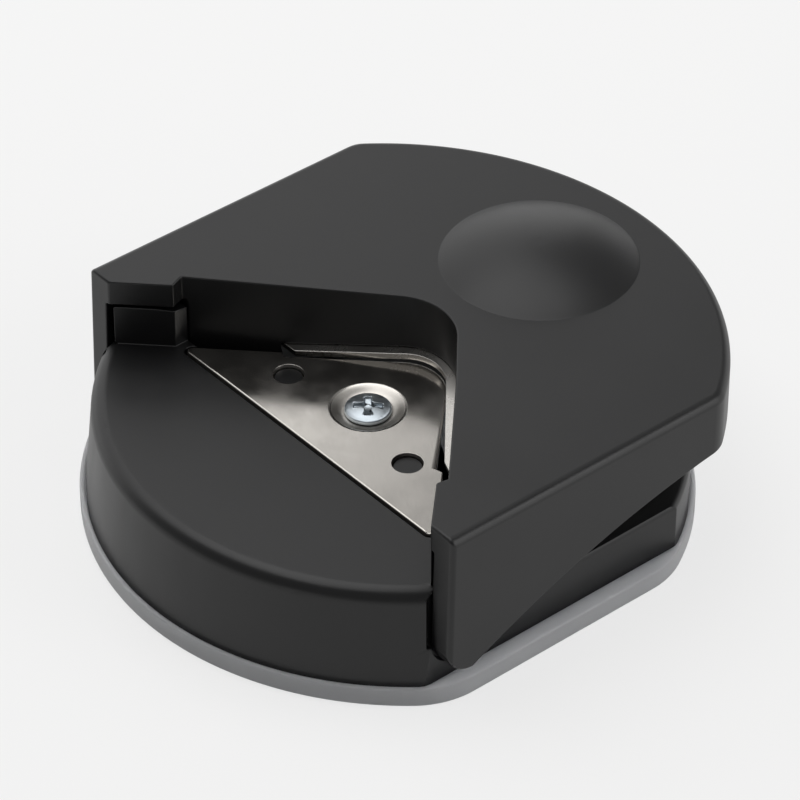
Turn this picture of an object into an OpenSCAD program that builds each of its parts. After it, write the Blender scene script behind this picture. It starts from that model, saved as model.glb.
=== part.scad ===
// Desk corner punch: a hinged lever presses a V-shaped blade past a fixed die and rounds a paper corner.
// Units are millimetres. The origin is on the table under the middle of the punch; the throat opens to -Y.

/* [Lever] */
// Width over the two side walls
lever_w = 60.3; // [58.5:0.1:62]
// Distance from the origin to the front faces of the legs
lever_front = 18.2; // [17.8:0.05:18.8]
// Radius of the round rear end
rear_r = 36.85; // [35.5:0.05:39]
// Distance of the rear arc's centre in front of the origin
rear_back = 2.4; // [1.5:0.1:4]
// Height of the flat top
lever_top = 22.1; // [21.5:0.1:24]
// Thickness of the top plate
lever_skin = 2; // [1.6:0.1:2.4]
// Thickness of the side walls and legs
leg_wall = 2.95; // [2.4:0.05:3.2]
// Thickness of the rear wall
rear_wall = 2; // [1.6:0.1:2.6]
// Height of the skirt's lower edge at the rear
skirt_z = 15.75; // [15:0.05:17]
// Radius of the long arc along the skirt's lower edge
skirt_r = 102; // [90:1:120]
// Distance behind the origin where that arc lies level
skirt_level = 32.1; // [30:0.1:34]
// Rounding of the top edges
edge_r = 0.8; // [0.4:0.1:1.2]
// Diameter of the thumb dome
dome_d = 21.8; // [18:0.2:24]
// Height of the thumb dome
dome_h = 2.5; // [1.5:0.1:3.5]
// Distance of the dome behind the origin
dome_back = 19.8; // [18:0.05:21]
// Height of the stiffening ribs under the top plate
rib_h = 3; // [2:0.25:4]
// Thickness of the stiffening ribs
rib_t = 1.2; // [0.8:0.1:1.6]

/* [Throat] */
// Slope of the throat's sides against the width
throat_slope = 41.5; // [40:0.25:44]
// Rounding of the throat's inner corner beyond the cutting radius
throat_round = 1.9; // [1:0.1:3]
// Thickness of the wall round the throat
throat_wall = 1.8; // [1.4:0.1:2.4]
// Depth of that wall below the blade's upper face
throat_drop = 1.85; // [1.2:0.05:2.2]
// Height of the lips over the paper guides
lip_h = 3.1; // [2.8:0.1:3.6]
// Width of a lip along the throat
lip_reach = 4.95; // [4.6:0.05:5.4]
// Sideways slant of the step behind a lip
lip_slant = 0.65; // [0.3:0.05:1]

/* [Hinge] */
// Distance of the pivot behind the leg's front face
pivot_inset = 2.85; // [2.7:0.05:3]
// Height of the pivot
pivot_z = 7.3; // [7:0.1:7.5]
// Radius of the leg's round foot
foot_r = 3.2; // [3.1:0.1:3.4]
// Diameter of the moulded pivot stubs
stub_d = 4; // [3:0.1:4.4]
// Length of the stubs in the base
stub_l = 2.9; // [2:0.1:3.4]
// How far the lever turns when pressed
press_angle = 7; // [5:0.25:8]

/* [Base] */
// How far the base's sides stand inside the lever's
base_inset = 2.4; // [2.2:0.05:2.5]
// Radius of the round front at its foot
front_r = 34.8; // [34:0.1:36]
// Distance of the front arc's centre behind the origin
front_back = 1.28; // [0.5:0.02:2]
// Radius of the round rear
tail_r = 31.8; // [31:0.1:32.5]
// Distance of the rear arc's centre in front of the origin
tail_back = 0.45; // [0:0.05:1]
// Height of the shelf behind the deck
shelf_z = 7.9; // [7.7:0.1:8.6]
// Height of the raised deck
deck_z = 13.85; // [13.4:0.05:14.4]
// Lean of the front wall from foot to deck
front_lean = 0.9; // [0.5:0.1:1.3]
// Rounding of the deck's front edge
deck_round = 1.8; // [1:0.1:2.4]
// Thickness of the walls and the shelf
base_wall = 1.8; // [1.4:0.1:2.2]
// Thickness of the deck under the die
deck_skin = 2.2; // [1.8:0.1:2.6]
// Height of the wall's upright foot inside the tray rim
foot_h = 1.25; // [1:0.05:1.5]
// Width left between a guide block and the leg beside it
block_room = 0.8; // [0.6:0.05:1.2]
// Distance of a guide block's inner end from the middle
block_in = 21.7; // [21.3:0.1:22.5]
// Distance of the guide blocks' rear faces in front of the origin
block_rear = 11.5; // [11.2:0.1:13]

/* [Die] */
// Distance behind the origin where the paper's sharp corner comes to rest
paper_corner = 8.5; // [8.2:0.1:8.8]
// Radius that the punch cuts
cut_r = 5; // [4:0.25:6]
// Depth of the cut inside the sharp corner's edges
cut_bite = 1.2; // [1:0.05:1.4]
// Thickness of the die plate
die_t = 1.2; // [1:0.1:1.5]
// Height of the die's upper face
die_top = 14; // [13.6:0.05:14.4]
// Distance of the die's front edge in front of the origin
die_front = 12.9; // [12.4:0.05:13.4]
// Setback of the die's outer edges from the paper's edges
die_ledge = 0.3; // [0.2:0.05:0.4]
// Distance of the step's tip from the middle
die_jag = 13.4; // [13:0.1:15]
// Relief of the cutting edges at the step
die_relief = 0.2; // [0:0.05:0.4]
// Rounding of the die's outer points
die_round = 0.55; // [0.4:0.05:1]
// Distance between the two locating pegs
peg_span = 19.8; // [18:0.2:21]
// Distance of the pegs in front of the origin
peg_front = 7.05; // [6.5:0.05:8]
// Diameter of the pegs
peg_d = 3.1; // [2.4:0.1:3.4]
// Distance of the die screw in front of the origin
screw_front = 4.2; // [3.8:0.1:4.6]
// Diameter of the pressed dish round the screw
dish_d = 7.6; // [7:0.1:8.2]
// Depth of the dish
dish_deep = 0.6; // [0.5:0.05:0.8]

/* [Blade] */
// Thickness of the blade
blade_t = 0.8; // [0.7:0.1:1]
// Height of the blade's corner above the die at rest
blade_lift = 0.55; // [0.5:0.05:0.8]
// Room between blade and die as they pass
shear_gap = 0.12; // [0.08:0.02:0.2]
// Slope of the blade's edges against the width
blade_slope = 41.4; // [40:0.2:44]
// How far the blade shows in front of the throat wall
blade_show = 0.8; // [0.6:0.05:1.2]
// Half width of the blade over its horns
blade_half = 15.5; // [14.5:0.1:16.5]
// Distance of the horns' ends in front of the origin when pressed
horn_front = 3.4; // [3:0.1:4]
// Depth of the blade behind its screws
blade_margin = 4.1; // [3.6:0.1:4.6]
// Chamfer of the blade's back corners
blade_chamfer = 4; // [2:0.25:5]
// Distance between the two blade screws
bscrew_span = 19; // [18:0.2:20]
// Distance of the blade screws behind the cutting edge
bscrew_back = 6.3; // [6:0.1:7]

/* [Screws] */
// Diameter of the screw heads
head_d = 5.1; // [4.6:0.1:5.4]
// Height of the screw heads
head_h = 1.2; // [1.1:0.1:1.5]
// Height of their crown above the rounded rim
head_crown = 0.5; // [0.3:0.1:0.7]
// Diameter of the screw shanks
shank_d = 2.6; // [2.2:0.1:2.9]
// Length of the die screw's shank
die_shank = 6; // [5:0.25:6.5]
// Length of the blade screws' shanks
blade_shank = 4; // [3.4:0.1:4.4]
// Width of the cross recess
cross_w = 0.8; // [0.6:0.05:1]
// Wall of the plastic round a screw
boss_wall = 1.9; // [1.5:0.1:2.2]

/* [Return spring] */
// Outside diameter
spring_d = 10; // [9:0.2:11]
// Wire diameter
wire_d = 1; // [0.8:0.05:1.2]
// Number of turns
turns = 4.5; // [3.5:0.5:5]
// Distance of the spring behind the origin
spring_back = 20; // [18.5:0.25:21]
// Height of the peg inside the spring
spring_peg = 2; // [1.5:0.25:3]

/* [Stop hooks] */
// Distance between the two hooks
hook_span = 41; // [39:0.5:42]
// Distance of the hooks behind the origin
hook_back = 6; // [5:0.25:7]
// Width of a hook
hook_w = 4; // [3:0.25:5]
// Thickness of a hook
hook_t = 1.8; // [1.4:0.1:2.2]
// Reach of a hook's barb under the shelf
barb = 1.2; // [0.9:0.1:1.4]
// Height of a barb
barb_h = 1.4; // [1.2:0.1:1.5]

/* [Chip tray] */
// Thickness of the floor
tray_floor = 1.2; // [1:0.1:1.5]
// Thickness of the rim
tray_rim = 0.6; // [0.5:0.05:0.9]
// Height of the rim
tray_h = 2.4; // [2.2:0.1:2.6]
// Width of the ledge along the sides, beyond the rim
tray_ledge = 1.35; // [0.8:0.05:1.5]
// Rounding of the lower edge
tray_round = 0.4; // [0.3:0.1:0.5]

/* [Clearances] */
// Room between the legs and the base
leg_gap = 0.3; // [0.2:0.05:0.5]
// Room round a pivot stub
pivot_gap = 0.05; // [0.03:0.01:0.1]
// Room round the die in its recess
die_gap = 0.35; // [0.2:0.05:0.5]
// Room round a peg or a screw in its hole
hole_gap = 0.15; // [0.1:0.05:0.25]
// Room between the base and the tray
tray_gap = 0.1; // [0.05:0.05:0.2]
// Room at the ends of the spring
seat_gap = 0.1; // [0.05:0.05:0.2]
// Room round a hook in its slot
slot_gap = 0.5; // [0.4:0.05:0.7]
// Room between the barbs and the shelf at rest
stop_gap = 0.15; // [0.1:0.05:0.3]

/* [Hidden] */
$fn = 96;
eps = 0.01;
// How far a rounding stands out of the edges it joins, so that they cross it cleanly
tuck = 0.01;
over = 60;
black = "#2b2b2c";
steel = "#b4b1ad";
zinc = "#c9ced2";
clear_grey = "#8a8b8b";

// Lever
side = lever_w / 2;
leg_in = side - leg_wall;
skin_z = lever_top - lever_skin;
lip_z = lever_top - lip_h;
pivot_y = -lever_front + pivot_inset;
dome_r = (dome_d * dome_d / 4 + dome_h * dome_h) / (2 * dome_h);

// Cutting corner: the die's rounded tip, and where the blade's edge is at rest and when pressed
cut_tip = paper_corner - cut_bite;
die_tip = cut_tip - cut_r * (sqrt(2) - 1);
cross_y = die_tip + shear_gap - pivot_y;
swing_sq = cross_y * cross_y + pow(die_top - pivot_z, 2);
rest_z = die_top + blade_lift - pivot_z;
rest_y = sqrt(swing_sq - rest_z * rest_z);
blade_tip = pivot_y + rest_y * cos(press_angle) + rest_z * sin(press_angle);
blade_low = pivot_z + rest_z * cos(press_angle) - rest_y * sin(press_angle);
blade_high = blade_low + blade_t;
blade_vee = blade_tip + cut_r * (1 / cos(blade_slope) - 1);
bscrew_y = blade_vee - tan(blade_slope) * bscrew_span / 2 + bscrew_back;
blade_back = bscrew_y + blade_margin;

// Throat
throat_r = cut_r + throat_round;
throat_vee = pivot_y + rest_y + blade_show + throat_r * (1 / cos(throat_slope) - 1);
lip_x = paper_corner + lever_front;
lip_end = [lip_x - lip_reach, lip_reach - lever_front];
step_x = lip_end.x + lip_slant;
function throat_y(x) = throat_vee - tan(throat_slope) * x;

// Die
die_vee = paper_corner - die_ledge;
die_low = die_top - die_t;
dish_low = die_top - dish_deep;
dish_floor_d = head_d + 4 * hole_gap;
hole_d = peg_d + 2 * hole_gap;

// Base
base_w = lever_w - 2 * base_inset;
pocket = leg_in - leg_gap;
deck_half = base_w / 2 - leg_gap;
base_low = tray_floor + tray_gap / 2;
shelf_low = shelf_z - base_wall;
deck_vee = cut_tip - 2 * die_relief - die_gap;
hollow_z = die_low - deck_skin;
cheek = pocket - base_wall - leg_gap;

// A wedge in plan: everything in front of two slopes that meet at tip, with a rounded corner
module wedge(tip, slope, r, half) {
    end_y = tip - tan(slope) * half;
    union() {
        polygon([[-half, -over], [half, -over], [half, end_y],
                 [r * sin(slope), tip - r / cos(slope) + r * cos(slope)],
                 [-r * sin(slope), tip - r / cos(slope) + r * cos(slope)], [-half, end_y]]);
        translate([0, tip - r / cos(slope)]) circle(r + tuck);
    }
}

// A copy on each side of the middle plane
module both_sides() {
    for (s = [0, 1]) mirror([s, 0, 0]) children();
}

// Moves what is drawn at the pressed position back to rest
module at_rest(angle = press_angle) {
    translate([0, pivot_y, pivot_z]) rotate([angle, 0, 0]) translate([0, -pivot_y, -pivot_z]) children();
}

// Extrudes a side view, drawn as depth and height, over the width from x0 to x1
module across(x0, x1) {
    translate([x0, 0, 0]) rotate([90, 0, 90]) linear_extrude(x1 - x0) children();
}

// A rectangle from the axis to w, between heights z0 and z1, with its upper outer corner rounded
module rounded_step(w, z0, z1, r) {
    union() {
        translate([0, z0]) square([w, z1 - r - z0]);
        translate([0, z0]) square([w - r, z1 - z0]);
        translate([w - r, z1 - r]) circle(r);
    }
}

// Outline of the base in plan, grown outwards by g
module base_plan(g = 0) {
    intersection() {
        union() {
            intersection() {
                translate([0, front_back]) circle(front_r + g);
                translate([-over, -2 * over]) square([2 * over, 2 * over]);
            }
            intersection() {
                translate([0, -tail_back]) circle(tail_r + g);
                translate([-over, -eps]) square([2 * over, over]);
            }
        }
        translate([-base_w / 2 - g, -over]) square([base_w + 2 * g, 2 * over]);
    }
}

// Side view of the lever's walls with their leaning front, round foot and long arched lower edge, grown by g
module side_view(g = 0) {
    difference() {
        union() {
            polygon([[-lever_front - g, lever_top], [pivot_y - foot_r - g + tuck, pivot_z],
                     [over, pivot_z], [over, lever_top]]);
            translate([pivot_y, pivot_z - foot_r - g]) square([over - pivot_y, foot_r + g + eps]);
            translate([pivot_y, pivot_z]) circle(foot_r + g);
        }
        translate([skirt_level, skirt_z - skirt_r]) circle(skirt_r - g, $fn = 360);
    }
}

// The lever's outer form: round rear, straight sides, arched skirt, softened upper edges
module lever_form() {
    intersection() {
        translate([0, -rear_back, 0]) rotate_extrude($fn = 180) rounded_step(rear_r, 0, lever_top, edge_r);
        translate([0, over, 0]) rotate([90, 0, 0]) linear_extrude(2 * over) union() {
            rounded_step(side, 0, lever_top, edge_r);
            mirror([1, 0]) rounded_step(side, 0, lever_top, edge_r);
        }
        across(-over, over) side_view();
    }
}

// Plan of the throat between the lips and the sloping walls
module throat_plan() {
    half = lip_end.x / 2;
    union() {
        wedge(throat_vee, throat_slope, throat_r, half);
        polygon([[-lip_x - 1, -lever_front - 1], [lip_x + 1, -lever_front - 1], lip_end,
                 [step_x, throat_y(step_x)], [half, throat_y(half)], [-half, throat_y(half)],
                 [-step_x, throat_y(step_x)], [-lip_end.x, lip_end.y]]);
    }
}

// Plan of the hollow under the lever's top plate
module lever_hollow_plan() {
    difference() {
        intersection() {
            translate([0, -rear_back]) circle(rear_r - rear_wall);
            translate([-leg_in, -over]) square([2 * leg_in, 2 * over]);
        }
        wedge(throat_vee + throat_wall / cos(throat_slope), throat_slope, throat_r + throat_wall, over);
    }
}

// Plan of the blade, drawn flat as it lies when pressed
module blade_plan() {
    difference() {
        polygon([[-blade_half, -horn_front], [blade_half, -horn_front],
                 [blade_half, blade_back - blade_chamfer], [blade_half - blade_chamfer, blade_back],
                 [blade_chamfer - blade_half, blade_back], [-blade_half, blade_back - blade_chamfer]]);
        wedge(blade_vee, blade_slope, cut_r, over);
    }
}

// A pan head screw, its seat at the origin and its shank along -Z, with a cross recess
module pan_screw(shank) {
    crown_r = (head_d * head_d / 4 + head_crown * head_crown) / (2 * head_crown);
    difference() {
        union() {
            intersection() {
                cylinder(d = head_d, h = head_h);
                translate([0, 0, head_h - crown_r]) sphere(crown_r + tuck);
            }
            translate([0, 0, -shank]) cylinder(d = shank_d, h = shank + eps);
            translate([0, 0, -shank - shank_d / 2])
                cylinder(d1 = shank_d / 4, d2 = shank_d, h = shank_d / 2);
        }
        for (a = [0, 90]) rotate(a) translate([-head_d / 3.6, -cross_w / 2, head_h / 2.6])
            cube([head_d / 1.8, cross_w, head_h]);
    }
}

// Places of the two blade screws, their heads below the blade
module blade_screw_places() {
    for (x = [-bscrew_span / 2, bscrew_span / 2]) at_rest()
        translate([x, bscrew_y, blade_low]) rotate([180, 0, 0]) children();
}

// Lever: top plate with thumb dome, skirt and legs, throat wall, lips, stubs, hooks and bosses
module press_lever() {
    boss_d = shank_d + 2 * boss_wall;
    color(black) difference() {
        union() {
            difference() {
                lever_form();
                translate([0, 0, -eps]) linear_extrude(skin_z + eps) lever_hollow_plan();
                translate([-leg_in, -over, -eps])
                    cube([2 * leg_in, over - block_rear + leg_gap, lip_z + eps]);
                at_rest() translate([-leg_in, -over, -over])
                    cube([2 * leg_in, over + blade_vee + throat_wall * 4, over + blade_high - throat_drop]);
            }
            difference() {
                translate([0, dome_back, lever_top + dome_h - dome_r]) sphere(dome_r, $fn = 180);
                translate([0, dome_back, lever_top - lever_skin / 2 - over]) cube(2 * over, center = true);
            }
            intersection() {
                lever_form();
                union() {
                    blade_screw_places() translate([0, 0, -over / 3])
                        cylinder(d = boss_d, h = over / 3 - blade_t);
                    translate([0, spring_back, skin_z - rib_h]) difference() {
                        cylinder(d = spring_d + 4 * slot_gap + 2 * rib_t, h = rib_h + eps);
                        translate([0, 0, -eps]) cylinder(d = spring_d + 4 * slot_gap, h = rib_h);
                    }
                    for (x = [-bscrew_span / 2, bscrew_span / 2])
                        translate([x - rib_t / 2, bscrew_y, skin_z - rib_h])
                            cube([rib_t, over, rib_h + eps]);
                }
            }
            both_sides() {
                translate([leg_in - leg_gap - stub_l, pivot_y, pivot_z]) rotate([0, 90, 0])
                    cylinder(d = stub_d, h = stub_l + leg_gap + eps);
                across(hook_span / 2 - hook_w / 2, hook_span / 2 + hook_w / 2) hook_view();
            }
        }
        translate([0, 0, -eps]) linear_extrude(over) throat_plan();
        at_rest() translate([-blade_half - leg_gap, -horn_front - leg_gap, blade_low - over])
            cube([2 * (blade_half + leg_gap), blade_back + horn_front + 2 * leg_gap, over + blade_t]);
        blade_screw_places() translate([0, 0, -blade_shank - shank_d]) cylinder(d = shank_d, h = over / 2);
    }
}

// Side view of a stop hook, from inside the top plate down to its barb under the shelf
module hook_view() {
    barb_z = shelf_low - stop_gap;
    inner_z = skin_z + lever_skin / 2;
    shaft_y = hook_back + hook_t;
    polygon([[hook_back, inner_z], [hook_back, barb_z - barb_h], [shaft_y, barb_z - barb_h],
             [shaft_y + barb, barb_z - barb_h / 3], [shaft_y + barb, barb_z],
             [shaft_y, barb_z], [shaft_y, inner_z]]);
}

// Outline of the die in plan, its outer edges grown by g
module die_plan(g = 0) {
    point_x = die_vee + die_front + g * (1 + sqrt(2));
    r = die_round + g;
    run = r / tan(22.5);
    inner = [die_jag - (die_vee - cut_tip + die_relief) * 0.75, 0];
    notch_y = cut_tip - die_relief - inner.x;
    union() {
        polygon([[-point_x + run, -die_front - g], [point_x - run, -die_front - g],
                 [point_x - run * cos(45), -die_front - g + run * sin(45)],
                 [die_jag, die_vee - die_jag + g * sqrt(2)], [inner.x, notch_y], [-inner.x, notch_y],
                 [-die_jag, die_vee - die_jag + g * sqrt(2)],
                 [-point_x + run * cos(45), -die_front - g + run * sin(45)]]);
        for (x = [-1, 1]) translate([x * (point_x - run), -die_front - g + r]) circle(r + tuck);
        intersection() {
            polygon([[-inner.x, notch_y], [inner.x, notch_y], [cut_r * sin(45), cut_tip - cut_r * sin(45)],
                     [0, cut_tip], [-cut_r * sin(45), cut_tip - cut_r * sin(45)]]);
            wedge(cut_tip, 45, cut_r, over);
        }
    }
}

// Die: a stamped plate with a rounded cutting corner, two peg holes and a dished screw seat
module die_plate() {
    color(steel) difference() {
        union() {
            translate([0, 0, die_low]) linear_extrude(die_t) die_plan();
            translate([0, -screw_front, dish_low - die_t])
                cylinder(d1 = dish_floor_d, d2 = dish_d, h = die_t + eps);
        }
        translate([0, -screw_front, dish_low]) cylinder(d1 = dish_floor_d, d2 = dish_d, h = dish_deep + eps);
        translate([0, -screw_front, dish_low - over / 2]) cylinder(d = shank_d + 2 * hole_gap, h = over);
        for (x = [-peg_span / 2, peg_span / 2]) translate([x, -peg_front, 0]) cylinder(d = hole_d, h = over);
    }
}

module die_screw() {
    color(zinc) translate([0, -screw_front, dish_low]) pan_screw(die_shank);
}

module cutting_blade() {
    color(steel) difference() {
        at_rest() translate([0, 0, blade_low]) linear_extrude(blade_t) blade_plan();
        blade_screw_places() translate([0, 0, -over / 4]) cylinder(d = shank_d + 2 * hole_gap, h = over / 2);
    }
}

module blade_screws() {
    color(zinc) blade_screw_places() pan_screw(blade_shank);
}

// The deck's plan: the front crescent and the tongue under the die, grown by g
module deck_plan(g = 0) {
    intersection() {
        translate([-deck_half - g, -over]) square([2 * (deck_half + g), 2 * over]);
        wedge(deck_vee + g * sqrt(2), 45, cut_r + g, over);
    }
}

// Ground under the guide blocks, outside the tongue
module block_ground() {
    inner = deck_vee + block_rear - eps;
    translate([inner, -over]) square([deck_half - inner, over - block_rear]);
}

// Plan of one guide block, its sloping face in line with the paper's edge
module block_plan() {
    outer = leg_in - block_room;
    polygon([[outer, paper_corner - outer], [block_in, paper_corner - block_in],
             [block_in, -block_rear], [outer, -block_rear]]);
}

// The round front with its leaning wall and rounded deck edge, as a turned form
module front_form() {
    shoulder = front_r - front_lean;
    translate([0, front_back, 0]) rotate_extrude($fn = 180) union() {
        polygon([[0, base_low], [front_r, base_low], [front_r, base_low + foot_h],
                 [shoulder, deck_z - deck_round], [0, deck_z - deck_round]]);
        translate([0, deck_z - deck_round - eps]) square([shoulder - deck_round, deck_round + eps]);
        translate([shoulder - deck_round, deck_z - deck_round]) circle(deck_round);
    }
}

// Base: raised deck with die seat and guides, low shelf with chip opening, hollow below
module base_housing() {
    bore = stub_d / 2 + pivot_gap;
    boss_d = shank_d + 2 * boss_wall;
    color(black) difference() {
        union() {
            difference() {
                union() {
                    intersection() {
                        front_form();
                        union() {
                            translate([-base_w / 2, -over, 0]) cube([base_w, over, shelf_z]);
                            linear_extrude(over) deck_plan();
                            both_sides() linear_extrude(over) block_ground();
                        }
                    }
                    translate([0, 0, base_low]) linear_extrude(shelf_z - base_low) intersection() {
                        base_plan();
                        translate([-over, -eps]) square([2 * over, over]);
                    }
                    both_sides() guide_block();
                }
                translate([0, 0, -eps]) linear_extrude(shelf_low + eps) intersection() {
                    base_plan(-base_wall - front_lean);
                    union() {
                        translate([-cheek, -over]) square([2 * cheek, 2 * over]);
                        translate([-over, hook_back]) square([2 * over, over]);
                    }
                }
                translate([0, 0, -eps]) linear_extrude(hollow_z + eps) intersection() {
                    deck_plan(-base_wall);
                    base_plan(-base_wall - front_lean);
                    translate([-cheek, -over]) square([2 * cheek, 2 * over]);
                }
                translate([0, 0, die_low]) linear_extrude(over) die_plan(die_gap);
                chip_opening();
                leg_pockets();
            }
            for (x = [-peg_span / 2, peg_span / 2]) translate([x, -peg_front, die_low - deck_skin / 2])
                cylinder(d = peg_d, h = die_t + deck_skin / 2 - 3 * hole_gap);
            translate([0, -screw_front, dish_low - die_shank - shank_d])
                cylinder(d = boss_d, h = die_shank + shank_d - die_t);
            translate([0, spring_back, shelf_z - eps])
                cylinder(d = spring_d - 2 * wire_d - 4 * slot_gap, h = spring_peg);
        }
        translate([0, -screw_front, dish_low - die_t - seat_gap])
            cylinder(d1 = dish_floor_d + 2 * die_gap, d2 = dish_d + 2 * die_gap, h = die_t + seat_gap);
        translate([0, -screw_front, dish_low - eps]) cylinder(d = dish_d + 2 * die_gap, h = dish_deep);
        translate([0, -screw_front, dish_low - die_shank - shank_d / 2 - seat_gap])
            cylinder(d = shank_d, h = over / 2);
        both_sides() {
            translate([cheek - base_wall, pivot_y, pivot_z]) rotate([0, 90, 0]) cylinder(r = bore, h = over);
            translate([hook_span / 2 - hook_w / 2 - slot_gap, hook_back - slot_gap, shelf_low - eps])
                cube([hook_w + 2 * slot_gap, hook_t + 2 * slot_gap, over]);
        }
    }
}

// One guide block, its top cut to clear the lip at rest and when pressed
module guide_block() {
    difference() {
        translate([0, 0, deck_z - eps]) linear_extrude(lip_z - leg_gap - deck_z + eps) block_plan();
        at_rest(-press_angle) translate([0, -over, lip_z - leg_gap]) cube([over, 2 * over, over]);
    }
}

// Opening behind the die through which the cut corners fall into the tray
module chip_opening() {
    translate([0, 0, shelf_low - eps]) linear_extrude(base_wall + 2 * eps) intersection() {
        difference() {
            wedge(blade_vee + bscrew_back, 45, cut_r, over);
            wedge(deck_vee + eps, 45, cut_r, over);
        }
        translate([-blade_half, -horn_front]) square([2 * blade_half, over]);
    }
}

// Room in the base's sides for the legs, from rest to pressed
module leg_pockets() {
    both_sides() {
        across(pocket, over) side_view(leg_gap);
        at_rest(-press_angle) across(pocket, over) side_view(leg_gap - tuck);
    }
}

// The tray's outer form: round front and rear, straight sides, lower edges rounded all round
module tray_form() {
    grow = tray_gap + tray_rim;
    half = base_w / 2 + grow + tray_ledge;
    intersection() {
        union() {
            intersection() {
                translate([0, front_back, 0]) rotate_extrude($fn = 180) rounded_foot(front_r + grow);
                translate([-over, -2 * over, 0]) cube([2 * over, 2 * over, over]);
            }
            intersection() {
                translate([0, -tail_back, 0]) rotate_extrude($fn = 180) rounded_foot(tail_r + grow);
                translate([-over, -eps, 0]) cube([2 * over, over, over]);
            }
        }
        translate([0, over, 0]) rotate([90, 0, 0]) linear_extrude(2 * over) union() {
            rounded_foot(half);
            mirror([1, 0]) rounded_foot(half);
        }
    }
}

// Half section of the tray with its lower outer corner rounded
module rounded_foot(w) {
    translate([0, tray_h]) mirror([0, 1]) rounded_step(w, 0, tray_h, tray_round);
}

// Chip tray: a soft shallow pan whose rim grips the foot of the base
module chip_tray() {
    color(clear_grey) difference() {
        tray_form();
        translate([0, 0, tray_floor]) linear_extrude(over) base_plan(tray_gap);
    }
}

// Points along the spring's centre line, and the rings of its wire
spring_low = shelf_z + seat_gap + wire_d / 2;
spring_high = skin_z - seat_gap - wire_d / 2;
coil_r = (spring_d - wire_d) / 2;
coil_steps = round(turns * 8);
coil_sides = 6;
pitch = (spring_high - spring_low) / turns;
coil_lean = atan(pitch / (2 * PI * coil_r));
function coil_angle(i) = 360 * turns * i / coil_steps;
function coil_point(i) = [coil_r * cos(coil_angle(i)), spring_back + coil_r * sin(coil_angle(i)),
                          spring_low + (spring_high - spring_low) * i / coil_steps];
function coil_ring(i) = [for (k = [0:coil_sides - 1])
    let (a = coil_angle(i), b = 360 * k / coil_sides, out = wire_d / 2 * cos(b), rise = wire_d / 2 * sin(b))
    coil_point(i) + [out * cos(a) + rise * sin(coil_lean) * sin(a),
                     out * sin(a) - rise * sin(coil_lean) * cos(a), rise * cos(coil_lean)]];
coil_gap = min([for (i = [0:coil_steps]) for (j = [i + 5:1:coil_steps])
    norm(coil_point(i) - coil_point(j))]) - wire_d;
echo(least_gap_between_the_spring_turns = coil_gap);

module return_spring() {
    points = [for (i = [0:coil_steps]) each coil_ring(i)];
    last = coil_steps * coil_sides;
    faces = concat(
        [for (k = [1:coil_sides - 2]) [0, k + 1, k]],
        [for (k = [1:coil_sides - 2]) [last, last + k, last + k + 1]],
        [for (i = [0:coil_steps - 1]) for (k = [0:coil_sides - 1])
            let (p = i * coil_sides + k, q = i * coil_sides + (k + 1) % coil_sides)
            each [[p, q, p + coil_sides], [q, q + coil_sides, p + coil_sides]]]);
    color(steel) polyhedron(points, faces);
}

base_housing();
die_plate();
die_screw();
press_lever();
cutting_blade();
blade_screws();
return_spring();
chip_tray();
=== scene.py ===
import math

import bmesh
import bpy
from mathutils import Matrix, Vector


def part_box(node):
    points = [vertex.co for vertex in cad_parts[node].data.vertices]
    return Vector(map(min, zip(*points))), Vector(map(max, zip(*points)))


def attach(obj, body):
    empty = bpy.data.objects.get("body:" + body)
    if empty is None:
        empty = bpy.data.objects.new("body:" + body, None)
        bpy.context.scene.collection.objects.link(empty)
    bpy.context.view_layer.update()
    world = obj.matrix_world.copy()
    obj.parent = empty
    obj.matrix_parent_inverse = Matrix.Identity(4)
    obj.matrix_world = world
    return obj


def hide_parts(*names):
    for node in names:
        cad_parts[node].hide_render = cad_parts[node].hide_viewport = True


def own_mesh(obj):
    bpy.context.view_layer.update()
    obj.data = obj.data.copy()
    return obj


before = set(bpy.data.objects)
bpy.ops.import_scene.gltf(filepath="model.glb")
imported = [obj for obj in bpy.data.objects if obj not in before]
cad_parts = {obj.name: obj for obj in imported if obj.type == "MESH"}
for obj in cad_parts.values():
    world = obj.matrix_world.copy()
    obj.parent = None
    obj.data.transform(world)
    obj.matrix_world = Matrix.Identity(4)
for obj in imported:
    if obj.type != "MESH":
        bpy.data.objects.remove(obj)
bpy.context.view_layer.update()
scene = bpy.context.scene
mm = 0.001
print("corner punch: frame loaded with", len(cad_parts), "nodes")


# shared helpers

def linear(hexColour):
    # sRGB hex to the linear colour that a shader socket takes
    parts = [int(hexColour[i:i + 2], 16) / 255 for i in (1, 3, 5)]
    return [p / 12.92 if p <= 0.04045 else ((p + 0.055) / 1.055) ** 2.4 for p in parts] + [1.0]


def addNode(tree, kind, inputs=None, **settings):
    node = tree.nodes.new(kind)
    for name, value in settings.items():
        setattr(node, name, value)
    for name, value in (inputs or {}).items():
        if isinstance(value, bpy.types.NodeSocket):
            tree.links.new(value, node.inputs[name])
        else:
            node.inputs[name].default_value = value
    return node


def newMaterial(name):
    material = bpy.data.materials.new(name)
    material.use_nodes = True
    material.node_tree.nodes.clear()
    return material, material.node_tree


def perMetre(sizeMm):
    # texture scale that gives features of this size on Object coordinates in metres
    return 1 / (sizeMm * mm)


# materials

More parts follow.
